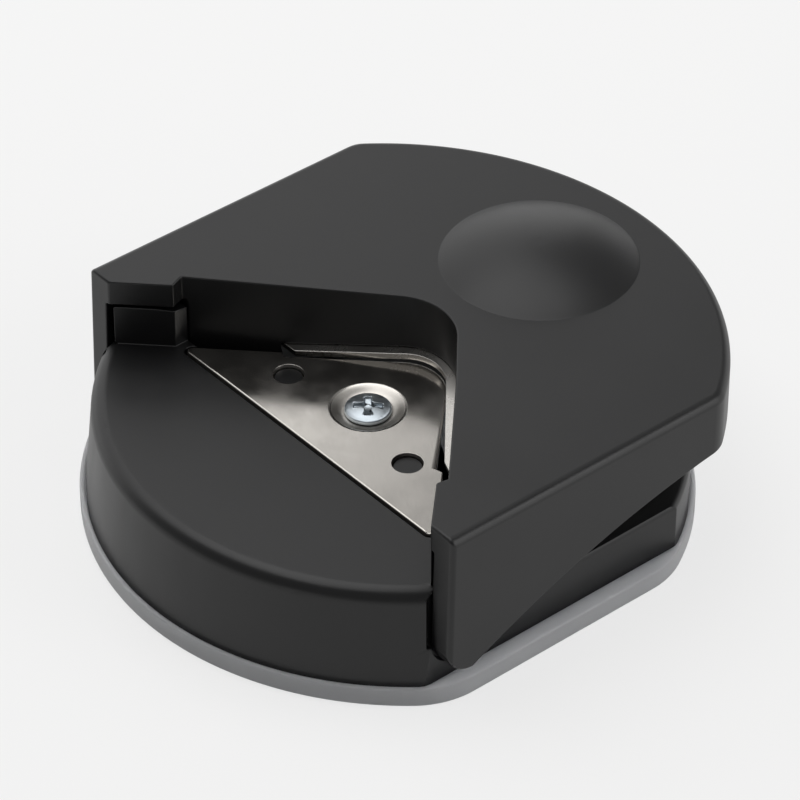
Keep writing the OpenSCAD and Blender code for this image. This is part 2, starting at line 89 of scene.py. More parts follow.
def makeMouldedAbs(name, look):
    # black ABS from a fine spark-eroded mould: a satin skin with a soft, wide sheen and no mirror image
    material, tree = newMaterial(name)
    place = addNode(tree, "ShaderNodeTexCoord")
    grain = addNode(tree, "ShaderNodeTexNoise", {
        "Vector": place.outputs["Object"], "Scale": perMetre(look["grainMm"]),
        "Detail": 2.0, "Roughness": 0.6})
    cloud = addNode(tree, "ShaderNodeTexNoise", {
        "Vector": place.outputs["Object"], "Scale": perMetre(look["cloudMm"]),
        "Detail": 3.0, "Roughness": 0.5})
    tone = addNode(tree, "ShaderNodeMix", {
        "Factor": cloud.outputs["Fac"], "A": linear(look["dark"]), "B": linear(look["light"])},
        data_type="RGBA")
    sheen = addNode(tree, "ShaderNodeMapRange", {
        "Value": cloud.outputs["Fac"], "From Min": 0.3, "From Max": 0.7,
        "To Min": look["roughness"][0], "To Max": look["roughness"][1]})
    skin = addNode(tree, "ShaderNodeBump", {
        "Height": grain.outputs["Fac"], "Strength": look["grainStrength"], "Distance": 0.02 * mm})
    shader = addNode(tree, "ShaderNodeBsdfPrincipled", {
        "Base Color": tone.outputs["Result"], "Roughness": sheen.outputs["Result"],
        "Normal": skin.outputs["Normal"], "IOR": look["ior"]})
    addNode(tree, "ShaderNodeOutputMaterial", {"Surface": shader.outputs[0]})
    return material


def makeRolledSteel(name, look):
    # stainless sheet, cold rolled and stamped: a soft mirror with fine lines along the rolling direction
    material, tree = newMaterial(name)
    place = addNode(tree, "ShaderNodeTexCoord")
    along = addNode(tree, "ShaderNodeMapping", {
        "Vector": place.outputs["Object"], "Rotation": (0, 0, math.radians(look["rollAngle"])),
        "Scale": (look["lineLengthMm"] * mm, look["lineWidthMm"] * mm, look["lineWidthMm"] * mm)},
        vector_type="TEXTURE")
    lines = addNode(tree, "ShaderNodeTexNoise", {
        "Vector": along.outputs["Vector"], "Scale": 1.0, "Detail": 3.0, "Roughness": 0.65})
    blot = addNode(tree, "ShaderNodeTexNoise", {
        "Vector": place.outputs["Object"], "Scale": perMetre(look["blotMm"]),
        "Detail": 4.0, "Roughness": 0.6})
    pits = addNode(tree, "ShaderNodeTexNoise", {
        "Vector": place.outputs["Object"], "Scale": perMetre(look["pitMm"]), "Detail": 1.0})
    tone = addNode(tree, "ShaderNodeMix", {
        "Factor": lines.outputs["Fac"], "A": linear(look["dark"]), "B": linear(look["light"])},
        data_type="RGBA")
    gloss = addNode(tree, "ShaderNodeMapRange", {
        "Value": blot.outputs["Fac"], "From Min": 0.35, "From Max": 0.65,
        "To Min": look["roughness"][0], "To Max": look["roughness"][1]})
    roughness = gloss.outputs["Result"]
    if "drawnBelowMm" in look:
        # where the sheet is drawn down its skin opens and turns satin
        height = addNode(tree, "ShaderNodeSeparateXYZ", {"Vector": place.outputs["Object"]})
        drawn = addNode(tree, "ShaderNodeMapRange", {
            "Value": height.outputs["Z"],
            "From Min": (look["drawnBelowMm"] - look["drawnFadeMm"]) * mm,
            "From Max": look["drawnBelowMm"] * mm, "To Min": look["drawnRoughness"], "To Max": 0.0})
        roughest = addNode(tree, "ShaderNodeMath", {0: roughness, 1: drawn.outputs["Result"]},
                           operation="MAXIMUM")
        roughness = roughest.outputs[0]
    lined = addNode(tree, "ShaderNodeBump", {
        "Height": lines.outputs["Fac"], "Strength": look["lineStrength"], "Distance": 0.01 * mm})
    pitted = addNode(tree, "ShaderNodeBump", {
        "Height": pits.outputs["Fac"], "Normal": lined.outputs["Normal"],
        "Strength": look["pitStrength"], "Distance": 0.01 * mm})
    shader = addNode(tree, "ShaderNodeBsdfPrincipled", {
        "Base Color": tone.outputs["Result"], "Metallic": 1.0, "Roughness": roughness,
        "Normal": pitted.outputs["Normal"]})
    addNode(tree, "ShaderNodeOutputMaterial", {"Surface": shader.outputs[0]})
    return material


def makeZincPlate(name, look):
    # steel screws with bright blue zinc plating: a cool, slightly cloudy mirror
    material, tree = newMaterial(name)
    place = addNode(tree, "ShaderNodeTexCoord")
    cloud = addNode(tree, "ShaderNodeTexNoise", {
        "Vector": place.outputs["Object"], "Scale": perMetre(look["cloudMm"]), "Detail": 3.0})
    tone = addNode(tree, "ShaderNodeMix", {
        "Factor": cloud.outputs["Fac"], "A": linear(look["dark"]), "B": linear(look["light"])},
        data_type="RGBA")
    gloss = addNode(tree, "ShaderNodeMapRange", {
        "Value": cloud.outputs["Fac"], "From Min": 0.3, "From Max": 0.7,
        "To Min": look["roughness"][0], "To Max": look["roughness"][1]})
    dimple = addNode(tree, "ShaderNodeBump", {
        "Height": cloud.outputs["Fac"], "Strength": look["dimple"], "Distance": 0.02 * mm})
    shader = addNode(tree, "ShaderNodeBsdfPrincipled", {
        "Base Color": tone.outputs["Result"], "Metallic": 1.0, "Roughness": gloss.outputs["Result"],
        "Normal": dimple.outputs["Normal"]})
    addNode(tree, "ShaderNodeOutputMaterial", {"Surface": shader.outputs[0]})
    return material


def makeSoftPlastic(name, look):
    # soft grey translucent plastic, injection moulded: milky, with light from the table in its waxy wall
    material, tree = newMaterial(name)
    place = addNode(tree, "ShaderNodeTexCoord")
    cloud = addNode(tree, "ShaderNodeTexNoise", {
        "Vector": place.outputs["Object"], "Scale": perMetre(look["cloudMm"]), "Detail": 3.0})
    tone = addNode(tree, "ShaderNodeMix", {
        "Factor": cloud.outputs["Fac"], "A": linear(look["dark"]), "B": linear(look["light"])},
        data_type="RGBA")
    wave = addNode(tree, "ShaderNodeBump", {
        "Height": cloud.outputs["Fac"], "Strength": look["wave"], "Distance": 0.1 * mm})
    shader = addNode(tree, "ShaderNodeBsdfPrincipled", {
        "Base Color": tone.outputs["Result"], "Roughness": look["roughness"], "IOR": look["ior"],
        "Transmission Weight": look["clear"], "Subsurface Weight": look["depth"],
        "Subsurface Radius": (1.0, 1.0, 1.0), "Subsurface Scale": look["depthMm"] * mm,
        "Normal": wave.outputs["Normal"]})
    addNode(tree, "ShaderNodeOutputMaterial", {"Surface": shader.outputs[0]})
    return material


# the grain of the mould and the rolling lines are drawn coarser than the real ones, so that they show
absLook = {"dark": "#0a0a0b", "light": "#0f0f10", "roughness": (0.35, 0.41), "ior": 1.48,
           "grainMm": 0.16, "grainStrength": 0.25, "cloudMm": 9.0}
steelLook = {"dark": "#bfbbb5", "light": "#d4d0ca", "roughness": (0.13, 0.23), "rollAngle": -31.0,
             "lineLengthMm": 3.0, "lineWidthMm": 0.08, "lineStrength": 0.1, "blotMm": 6.0,
             "pitMm": 0.12, "pitStrength": 0.03,
             "drawnBelowMm": 13.99, "drawnFadeMm": 0.08, "drawnRoughness": 0.36}
bladeLook = {"dark": "#b6b3ae", "light": "#c9c6c2", "roughness": (0.2, 0.3), "rollAngle": 90.0,
             "lineLengthMm": 3.0, "lineWidthMm": 0.08, "lineStrength": 0.12, "blotMm": 5.0,
             "pitMm": 0.12, "pitStrength": 0.03}
zincLook = {"dark": "#a9b2b9", "light": "#c4cbd0", "roughness": (0.28, 0.39), "cloudMm": 0.5,
            "dimple": 0.1}
wireLook = {"dark": "#85857f", "light": "#a9a8a3", "roughness": (0.27, 0.37), "rollAngle": 0.0,
            "lineLengthMm": 4.0, "lineWidthMm": 0.12, "lineStrength": 0.15, "blotMm": 3.0,
            "pitMm": 0.2, "pitStrength": 0.05}
trayLook = {"dark": "#cfd0d3", "light": "#d9dadd", "roughness": 0.42, "ior": 1.5, "cloudMm": 6.0,
            "wave": 0.15, "clear": 0.5, "depth": 1.0, "depthMm": 4.0}

blackAbs = makeMouldedAbs("black ABS, satin mould", absLook)
rolledSteel = makeRolledSteel("stainless sheet, rolled", steelLook)
groundSteel = makeRolledSteel("stainless blade, ground", bladeLook)
zincPlate = makeZincPlate("steel, blue zinc plated", zincLook)
springSteel = makeRolledSteel("spring steel, drawn wire", wireLook)
softPlastic = makeSoftPlastic("soft plastic, translucent grey", trayLook)
print("corner punch: materials made")


# pieces

def addObject(name, data):
    added = bpy.data.objects.new(name, data)
    scene.collection.objects.link(added)
    return added


def addMesh(name, bm):
    # turns the finished bmesh into an object
    mesh = bpy.data.meshes.new(name)
    bm.to_mesh(mesh)
    bm.free()
    return addObject(name, mesh)


def placePiece(piece, material, body, slotName, *nodeNames):
    piece.data.materials.clear()
    piece.data.materials.append(material)
    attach(piece, body)
    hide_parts(*nodeNames)
    print("corner punch:", piece.name, "with", len(piece.data.polygons), "faces on", body)


def evaluatedMesh(piece):
    # turns the modified object into a plain mesh and takes the modifiers off
    graph = bpy.context.evaluated_depsgraph_get()
    mesh = bpy.data.meshes.new_from_object(piece.evaluated_get(graph))
    piece.modifiers.clear()
    old = piece.data
    piece.data = mesh
    bpy.data.meshes.remove(old)
    mesh.name = piece.name


def weldedCopy(nodeName, pieceName, weldMm=0.002):
    # the solid's mesh as a piece of its own, its loose triangles joined
    bm = bmesh.new()
    bm.from_mesh(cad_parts[nodeName].data)
    bmesh.ops.remove_doubles(bm, verts=bm.verts, dist=weldMm * mm)
    return addMesh(pieceName, bm)


def combine(piece, tool, operation):
    # trims or joins a piece with a second closed mesh, which is used up
    step = piece.modifiers.new("combine", "BOOLEAN")
    step.operation = operation
    step.solver = "EXACT"
    step.object = tool
    evaluatedMesh(piece)
    bpy.data.objects.remove(tool)


def flattenNormals(piece, weight):
    # the broad faces shade flat, and the roundings take the whole bend
    flatten = piece.modifiers.new("flatten", "WEIGHTED_NORMAL")
    flatten.weight = weight
    evaluatedMesh(piece)


edgeSizes = {"flatAngle": 0.4, "flatWeight": 80, "nearMm": 0.2, "thinMm": 0.001, "rounds": 3}


def joinCrossed(piece, sizes):
    # where narrow roundings have passed each other on a face, their two near corners become one
    mesh = piece.data
    mesh.calc_loop_triangles()
    bm = bmesh.new()
    bm.from_mesh(mesh)
    bm.verts.ensure_lookup_table()
    joined, used = {}, set()
    for triangle in mesh.loop_triangles:
        if triangle.normal.dot(mesh.polygons[triangle.polygon_index].normal) < 0:
            a, b, c = (bm.verts[index] for index in triangle.vertices)
            first, second = min(((a, b), (b, c), (c, a)), key=lambda pair: (pair[0].co - pair[1].co).length)
            if (first.co - second.co).length < sizes["nearMm"] * mm and not used & {first, second}:
                joined[first] = second
                used |= {first, second}
    bmesh.ops.weld_verts(bm, targetmap=joined)
    bmesh.ops.dissolve_degenerate(bm, dist=sizes["thinMm"] * mm, edges=bm.edges)
    bmesh.ops.delete(bm, geom=[edge for edge in bm.edges if not edge.link_faces], context="EDGES")
    bm.to_mesh(mesh)
    bm.free()


def roundEdges(piece, sizes, ownWidth=None):
    # rounds the edges as a mould or a press leaves them, and keeps the broad faces flat
    bm = bmesh.new()
    bm.from_mesh(piece.data)
    bmesh.ops.remove_doubles(bm, verts=bm.verts, dist=sizes["weldMm"] * mm)
    bmesh.ops.dissolve_limit(bm, angle_limit=math.radians(edgeSizes["flatAngle"]),
                             verts=bm.verts, edges=bm.edges)
    weights = bm.edges.layers.float.new("bevel_weight_edge")
    for edge in bm.edges:
        if edge.calc_face_angle(0) > math.radians(sizes["edgeAngle"]):
            ends = [corner.co / mm for corner in edge.verts]
            width = ownWidth(sizes, *ends) if ownWidth else sizes["edgeMm"]
            edge[weights] = width / sizes["widestMm"]
    bm.to_mesh(piece.data)
    bm.free()
    piece.data.shade_smooth()
    rounding = piece.modifiers.new("rounding", "BEVEL")
    rounding.limit_method = "WEIGHT"
    rounding.width = sizes["widestMm"] * mm
    rounding.segments = sizes["edgeSteps"]
    rounding.use_clamp_overlap = False
    rounding.miter_outer = "MITER_ARC"
    evaluatedMesh(piece)
    for _ in range(edgeSizes["rounds"]):
        joinCrossed(piece, edgeSizes)
    flattenNormals(piece, edgeSizes["flatWeight"])


def loftRings(name, rings):
    # a closed mesh through rings of points in millimetres, from the lowest to the highest
    bm = bmesh.new()
    loops = [[bm.verts.new(Vector(point) * mm) for point in points] for points in rings]
    count = len(rings[0])
    for low, high in zip(loops, loops[1:]):
        for i in range(count):
            k = (i + 1) % count
            bm.faces.new((low[i], low[k], high[k], high[i]))
    bm.faces.new(list(reversed(loops[0])))
    bm.faces.new(loops[-1])
    bmesh.ops.recalc_face_normals(bm, faces=bm.faces)
    return addMesh(name, bm)


# lever: its outside is lofted with soft corners and trims the solid, which keeps throat, legs and inside

leverSizes = {"sideMm": 30.12, "frontMm": 18.17, "rearMm": (-2.4, 36.82), "topMm": 22.08, "lowMm": 1.0,
              "lean": 0.0236, "leanFromMm": -12.0, "leanOverMm": 5.0,
              "frontCornerMm": 0.6, "rearCornerMm": 3.2, "topCornerMm": 0.12,
              "topRoundMm": 1.0, "frontRoundMm": 0.36,
              "straightSteps": 6, "roundSteps": 8, "rearSteps": 60,
              "domeMm": (19.8, 25.015, -0.445), "domeSunkMm": 1.5, "domeRows": 25, "domeAround": 128,
              "edgeMm": 0.2, "rimMm": 0.06, "widestMm": 0.2, "edgeSteps": 4, "edgeAngle": 21, "weldMm": 0.02,
              "rimRadiusMm": 10.9, "rimNearMm": (0.15, 0.1),
              "skinMm": (1.3, 1.1, 1.2), "swell": 1.02, "swellUpMm": 0.5,
              "wallEndMm": (22.3, -11.45), "wallNearMm": 0.7, "wallTurnMm": (-0.34, -0.38)}


def leverOutline(sizes):
    # one half in plan, from the front's middle to the rear's middle:
    # outer point, point of the flat top, and height of the rounding between them
    side, front, top = sizes["sideMm"], sizes["frontMm"], sizes["topRoundMm"]
    corner, topCorner, frontRound = sizes["frontCornerMm"], sizes["topCornerMm"], sizes["frontRoundMm"]
    steps, straight = sizes["roundSteps"], sizes["straightSteps"]
    half = []
    for i in range(straight):
        share = i / straight
        half.append(((share * (side - corner), -front),
                     (share * (side - top - topCorner), frontRound - front), frontRound))
    innerX, innerY = side - top - topCorner, frontRound + topCorner - front
    for i in range(steps + 1):
        turn = -math.pi / 2 * (1 - i / steps)
        outer = (side - corner + corner * math.cos(turn), corner - front + corner * math.sin(turn))
        inner = (innerX + topCorner * math.cos(turn), innerY + topCorner * math.sin(turn))
        half.append((outer, inner, frontRound + (top - frontRound) * i / steps))
    centreY, radius = sizes["rearMm"]
    bend = sizes["rearCornerMm"]
    bendX = side - bend
    bendY = centreY + math.sqrt((radius - bend) ** 2 - bendX ** 2)
    start = corner - front
    for i in range(1, straight):
        y = start + (bendY - start) * i / straight
        half.append(((side, y), (side - top, y), top))
    bendTurn = math.atan2(bendY - centreY, bendX)
    middle = Vector((bendX, bendY))
    for i in range(steps + 1):
        turn = bendTurn * i / steps
        spoke = Vector((math.cos(turn), math.sin(turn)))
        half.append((middle + spoke * bend, middle + spoke * (bend - top), top))
    middle = Vector((0, centreY))
    for i in range(1, sizes["rearSteps"] + 1):
        turn = bendTurn + (math.pi / 2 - bendTurn) * i / sizes["rearSteps"]
        spoke = Vector((math.cos(turn), math.sin(turn)))
        half.append((middle + spoke * radius, middle + spoke * (radius - top), top))
    mirrored = [((-o[0], o[1]), (-n[0], n[1]), r) for o, n, r in reversed(half[1:-1])]
    return half + mirrored


def leverForm(sizes):
    outline = leverOutline(sizes)
    top, steps = sizes["topMm"], sizes["roundSteps"]

    def leaning(x, y, z):
        # the front of the legs stands a little further out at the foot
        share = max(0.0, min(1.0, (sizes["leanFromMm"] - y) / sizes["leanOverMm"]))
        return (x, y - (top - z) * sizes["lean"] * share, z)

    rings = [[leaning(*outer, sizes["lowMm"]) for outer, inner, rise in outline]]
    for k in range(steps + 1):
        turn = math.pi / 2 * k / steps
        rings.append([leaning(outer[0] + (inner[0] - outer[0]) * (1 - math.cos(turn)),
                              outer[1] + (inner[1] - outer[1]) * (1 - math.cos(turn)),
                              top - rise * (1 - math.sin(turn))) for outer, inner, rise in outline])
    form = loftRings("leverForm", rings)
    domeY, domeR, domeZ = sizes["domeMm"]
    around, rows, rings = sizes["domeAround"], sizes["domeRows"], []
    lowest = math.asin((top - sizes["domeSunkMm"] - domeZ) / domeR)
    for k in range(rows):
        rise = lowest + (math.pi / 2 - lowest) * k / rows
        rings.append([(domeR * math.cos(rise) * math.cos(2 * math.pi * i / around),
                       domeY + domeR * math.cos(rise) * math.sin(2 * math.pi * i / around),
                       domeZ + domeR * math.sin(rise)) for i in range(around)])
    combine(form, loftRings("dome", rings), "UNION")
    return form


def leverEdge(sizes, a, b):
    # the dome meets the top in a finer edge than the others
    middle = (a + b) / 2
    nearRound, nearHigh = sizes["rimNearMm"]
    fromDome = math.hypot(middle.x, middle.y - sizes["domeMm"][0])
    onRim = abs(fromDome - sizes["rimRadiusMm"]) < nearRound and abs(middle.z - sizes["topMm"]) < nearHigh
    return sizes["rimMm"] if onRim else sizes["edgeMm"]


def swellSkin(piece, sizes):
    # moves the solid's upper rim outwards, so that the soft form alone shapes it
    rearY, rearR = sizes["rearMm"]
    fromRear, fromSide, fromTop = sizes["skinMm"]
    swell = sizes["swell"]
    for vertex in piece.data.vertices:
        x, y, z = vertex.co / mm
        onRim = math.hypot(x, y - rearY) > rearR - fromRear or abs(x) > sizes["sideMm"] - fromSide
        if onRim and z > sizes["topMm"] - fromTop:
            vertex.co = Vector((x * swell, y * swell, z + sizes["swellUpMm"])) * mm


def turnThroatWall(piece, sizes):
    # the right wall of the throat stands turned in a little, so that the blade in front of it tapers
    endX, endY = sizes["wallEndMm"]
    for vertex in piece.data.vertices:
        x, y, z = vertex.co / mm
        if math.hypot(x - endX, y - endY) < sizes["wallNearMm"]:
            vertex.co += Vector((sizes["wallTurnMm"][0], sizes["wallTurnMm"][1], 0)) * mm


lever = weldedCopy("press_lever", "leverBody")
swellSkin(lever, leverSizes)
turnThroatWall(lever, leverSizes)
combine(lever, leverForm(leverSizes), "INTERSECT")
roundEdges(lever, leverSizes, leverEdge)
placePiece(lever, blackAbs, "lever", "black_abs", "press_lever")


# base: the solid, cut straight beside each leg, its rear shelf with a wider broken edge

baseSizes = {"edgeMm": 0.1, "widestMm": 0.65, "edgeSteps": 3, "edgeAngle": 22, "weldMm": 0.03,
             "slitMm": ((26.91, -18.84), (28.5, -20.18), (32.0, -20.18), (32.0, -17.5), (26.91, -17.5)),
             "slitHighMm": (6.9, 13.25), "shelfMm": 7.9, "shelfNearMm": 0.05, "shelfEdgeMm": 0.65,
             "shelfSideMm": 27.6, "shelfRearMm": (-0.45, 31.5), "shelfFromMm": -10.0}


def baseEdge(sizes, a, b):
    # the outer edge of the rear shelf is broken wider, all round from leg to leg
    middle = (a + b) / 2
    rearY, rearR = sizes["shelfRearMm"]
    onShelf = max(abs(a.z - sizes["shelfMm"]), abs(b.z - sizes["shelfMm"])) < sizes["shelfNearMm"]
    outside = abs(middle.x) > sizes["shelfSideMm"] or math.hypot(middle.x, middle.y - rearY) > rearR
    wide = onShelf and outside and middle.y > sizes["shelfFromMm"]
    return sizes["shelfEdgeMm"] if wide else sizes["edgeMm"]


base = weldedCopy("base_housing", "baseHousing")
for side in (1, -1):
    # the front wall ends in a straight edge beside each leg
    slit = [[(side * x, y, z) for x, y in baseSizes["slitMm"]] for z in baseSizes["slitHighMm"]]
    combine(base, loftRings("slit", slit), "DIFFERENCE")
roundEdges(base, baseSizes, baseEdge)
placePiece(base, blackAbs, "base", "black_abs", "base_housing")


# die: a stamped plate whose dish for the screw head is drawn down with a soft, rolled edge

dieSizes = {"edgeMm": 0.12, "holeEdgeMm": 0.04, "frontEdgeMm": 0.2, "widestMm": 0.2,
            "edgeSteps": 3, "edgeAngle": 22, "weldMm": 0.02, "topMm": 14.0, "thickMm": 1.2,
            "dishCentreMm": (0.0, -4.2), "dishDeepMm": 0.6, "dishFloorMm": 2.75, "dishEdgeMm": 4.3,
            "dishSinkMm": 0.01, "dishOutMm": 0.25, "dishUpMm": 0.015, "dishSteps": 16, "around": 96,
            "plugGapMm": 0.05, "plugLowMm": 0.02, "plugTopMm": 0.004, "holeMm": 1.45, "clearMm": 0.5,
            "sharpWithinMm": 2.4, "pegMm": (9.9, -7.05), "pegNearMm": 2.2,
            "frontLongMm": 10.0, "frontLevelMm": 0.1, "levelFrom": 0.99995}


def turned(name, profile, sizes):
    # a closed round mesh from a profile of radius and height
    x, y = sizes["dishCentreMm"]
    turns = [2 * math.pi * i / sizes["around"] for i in range(sizes["around"])]
    return loftRings(name, [[(x + r * math.cos(t), y + r * math.sin(t), z) for t in turns]
                            for r, z in profile])


def dieEdge(sizes, a, b):
    # the screw hole stays sharp under the head, and the long front edge is broken wider
    middle = (a + b) / 2
    dishX, dishY = sizes["dishCentreMm"]
    pegX, pegY = sizes["pegMm"]
    if math.hypot(middle.x - dishX, middle.y - dishY) < sizes["sharpWithinMm"]:
        return 0.0
    if abs(a.x - b.x) > sizes["frontLongMm"] and abs(a.y - b.y) < sizes["frontLevelMm"]:
        return sizes["frontEdgeMm"]
    onHole = math.hypot(abs(middle.x) - pegX, middle.y - pegY) < sizes["pegNearMm"]
    return sizes["holeEdgeMm"] if onHole else sizes["edgeMm"]


def levelTop(piece, sizes):
    # the broad flat faces mirror as one plane
    mesh = piece.data
    normals = [corner.vector.copy() for corner in mesh.corner_normals]
    flatSides = {}
    for face in mesh.polygons:
        flat = face.normal.z > sizes["levelFrom"]
        for key in face.edge_keys:
            flatSides[key] = flatSides.get(key, 0) + flat
        for corner in face.loop_indices if flat else ():
            normals[corner] = Vector((0, 0, 1))
    for edge in mesh.edges:
        edge.use_edge_sharp = flatSides[edge.key] == 1
    mesh.normals_split_custom_set(normals)


def makeDie(sizes):
    # the solid's plain dish is filled, then cut again in its soft form
    piece = weldedCopy("die_plate", "diePlate")
    top, low = sizes["topMm"], sizes["topMm"] - sizes["thickMm"]
    floor, edge = sizes["dishFloorMm"], sizes["dishEdgeMm"]
    deep, steps = sizes["dishDeepMm"], sizes["dishSteps"]
    plug = edge - sizes["plugGapMm"]
    plugProfile = [(plug, low + sizes["plugLowMm"]), (plug, top - sizes["plugTopMm"])]
    combine(piece, turned("plug", plugProfile, sizes), "UNION")
    profile = []
    for i in range(steps + 1):
        share = i / steps
        drop = deep * (1 + math.cos(math.pi * share)) / 2
        profile.append((floor + (edge - floor) * share, top - drop - sizes["dishSinkMm"] * (1 - share)))
    outer = edge + sizes["dishOutMm"]
    profile += [(outer, top + sizes["dishUpMm"]), (outer, top + sizes["clearMm"])]
    combine(piece, turned("dish", profile, sizes), "DIFFERENCE")
    holeProfile = [(sizes["holeMm"], low - sizes["clearMm"]), (sizes["holeMm"], top)]
    combine(piece, turned("hole", holeProfile, sizes), "DIFFERENCE")
    roundEdges(piece, sizes, dieEdge)
    levelTop(piece, sizes)
    return piece


die = makeDie(dieSizes)
placePiece(die, rolledSteel, "base", "stainless_sheet", "die_plate")


# blade: the solid, its right horn drawn out

bladeSizes = {"edgeMm": 0.08, "widestMm": 0.08, "edgeSteps": 3, "edgeAngle": 22, "weldMm": 0.01,
              "hornMm": 15.4, "longerMm": (2.8, -2.47)}
blade = weldedCopy("cutting_blade", "cuttingBlade")
for vertex in blade.data.vertices:
    # the right horn reaches under the lip
    if vertex.co.x > bladeSizes["hornMm"] * mm:
        vertex.co.x += bladeSizes["longerMm"][0] * mm
        vertex.co.y += bladeSizes["longerMm"][1] * mm if vertex.co.y < 0 else 0.0
roundEdges(blade, bladeSizes)
placePiece(blade, groundSteel, "lever", "stainless_sheet", "cutting_blade")


# chip tray: a shallow pan with a soft rim, its outline rounded where front, sides and rear meet

traySizes = {"frontMm": (1.28, 34.8), "rearMm": (-0.45, 31.8), "sideMm": 27.75, "gapMm": 0.1, "rimMm": 0.6,
             "ledgeMm": 1.35, "cornerMm": 10.0, "pocketCornerMm": 2.0, "heightMm": 2.4, "floorMm": 1.2,
             "footRoundMm": 0.4, "rimRoundMm": 0.22, "innerRoundMm": 0.3,
             "around": 360, "arcSteps": 24, "roundSteps": 5}


def trayOutline(sizes, grow, side, corner):
    # points of a closed outline: front arc, sides and rear arc, each corner an arc of the given radius
    def cornerArc(centreY, radius, sign):
        reach = math.sqrt((radius - corner) ** 2 - (side - corner) ** 2)
        inner = Vector((side - corner, centreY + sign * reach))
        return inner, math.atan2(inner.y - centreY, inner.x)

    frontY, frontR = sizes["frontMm"][0], sizes["frontMm"][1] + grow
    rearY, rearR = sizes["rearMm"][0], sizes["rearMm"][1] + grow
    frontIn, frontTurn = cornerArc(frontY, frontR, -1)
    rearIn, rearTurn = cornerArc(rearY, rearR, 1)
    arcs = [((0, frontY), frontR, -math.pi / 2, frontTurn), (frontIn, corner, frontTurn, 0.0),
            (rearIn, corner, 0.0, rearTurn), ((0, rearY), rearR, rearTurn, math.pi / 2)]
    steps = sizes["arcSteps"]
    half = []
    for (x, y), radius, start, end in arcs:
        for i in range(steps + 1):
            turn = start + (end - start) * i / steps
            half.append(Vector((x + radius * math.cos(turn), y + radius * math.sin(turn))))
    return half + [Vector((-point.x, point.y)) for point in reversed(half)]


def spreadByAngle(loop, count):
    # the outline's points at even angles about the middle, so that two outlines match point by point
    parallel, slack = 1e-9, 1e-6
    points = []
    for i in range(count):
        aim = -math.pi / 2 + 2 * math.pi * (i + 0.5) / count
        ray = Vector((math.cos(aim), math.sin(aim)))
        best = None
        for k in range(len(loop)):
            a, b = loop[k - 1], loop[k]
            across = ray.x * (b.y - a.y) - ray.y * (b.x - a.x)
            if abs(across) < parallel:
                continue
            along = (a.x * (b.y - a.y) - a.y * (b.x - a.x)) / across
            share = (a.x * ray.y - a.y * ray.x) / across
            if along > 0 and -slack <= share <= 1 + slack:
                best = ray * along
        points.append(best)
    return points


def makeTray(sizes):
    count, steps = sizes["around"], sizes["roundSteps"]
    side, gap, height = sizes["sideMm"], sizes["gapMm"], sizes["heightMm"]
    grow = gap + sizes["rimMm"]
    outer = spreadByAngle(trayOutline(sizes, grow, side + grow + sizes["ledgeMm"], sizes["cornerMm"]), count)
    inner = spreadByAngle(trayOutline(sizes, gap, side + gap, sizes["pocketCornerMm"]), count)

    def ring(loop, inset, z):
        points = []
        for i, point in enumerate(loop):
            along = loop[(i + 1) % count] - loop[i - 1]
            outward = Vector((along.y, -along.x)).normalized()
            points.append((point.x - outward.x * inset, point.y - outward.y * inset, z))
        return points

    def quarter(radius):
        turns = [math.pi / 2 * i / steps for i in range(steps + 1)]
        return [(radius * (1 - math.sin(turn)), radius * (1 - math.cos(turn))) for turn in turns]

    foot, rim, inside = (quarter(sizes[key]) for key in ("footRoundMm", "rimRoundMm", "innerRoundMm"))
    rings = [ring(outer, inset, z) for inset, z in foot]
    rings += [ring(outer, inset, height - z) for inset, z in reversed(rim)]
    rings += [ring(inner, -inset, height - z) for inset, z in rim]
    rings += [ring(inner, inset, sizes["floorMm"] + z) for inset, z in reversed(inside)]
    piece = loftRings("chipTray", rings)
    piece.data.shade_smooth()
    flattenNormals(piece, edgeSizes["flatWeight"])
    return piece


tray = makeTray(traySizes)
placePiece(tray, softPlastic, "tray", "grey_soft_plastic", "chip_tray")


# node groups

def newTree(name, inputs):
    # a geometry node group with its named inputs and one geometry output
    tree = bpy.data.node_groups.new(name, "GeometryNodeTree")
    for inputName, kind in inputs.items():
        tree.interface.new_socket(inputName, in_out="INPUT", socket_type="NodeSocket" + kind)
    tree.interface.new_socket("Geometry", in_out="OUTPUT", socket_type="NodeSocketGeometry")
    return tree


def applyTree(piece, tree, values):
    # sets the inputs by their identifiers and turns the result into a plain mesh
    setting = piece.modifiers.new(tree.name, "NODES")
    setting.node_group = tree
    for item in tree.interface.items_tree:
        if item.in_out == "INPUT" and item.name in values:
            setting[item.identifier] = values[item.name]
    evaluatedMesh(piece)


# screws: one pan head pattern with a cross recess, set at its places

screwSizes = {"headMm": 5.1, "headHeightMm": 1.0, "neckMm": 4.3, "gapMm": 0.13, "sideMm": 0.42,
              "seatRoundMm": 0.08, "crownMm": 0.36, "shankMm": 2.6,
              "crossMm": 3.2, "crossDeepMm": 0.5, "tipSlope": 14.0, "crownShare": 0.35, "aboveMm": 0.2,
              "armMm": 0.82, "armTaper": 0.8, "hubMm": 1.5, "hubTaper": 0.7, "hubDeeperMm": 0.1,
              "around": 72, "seatSteps": 4, "headSteps": 8, "weldMm": 0.001,
              "edgeMm": 0.06, "edgeSteps": 3, "edgeAngle": 32, "flatWeight": 60}
dieScrewSizes = {"shankLengthMm": 6.0, "placesMm": [(0.0, -4.2, 13.4)], "spins": [50.0], "tilt": 0.0}
bladeScrewSizes = {"shankLengthMm": 4.0, "placesMm": [(-9.5, 4.756, 14.5), (9.5, 4.756, 14.5)],
                   "spins": [20.0, -35.0], "tilt": 187.0}


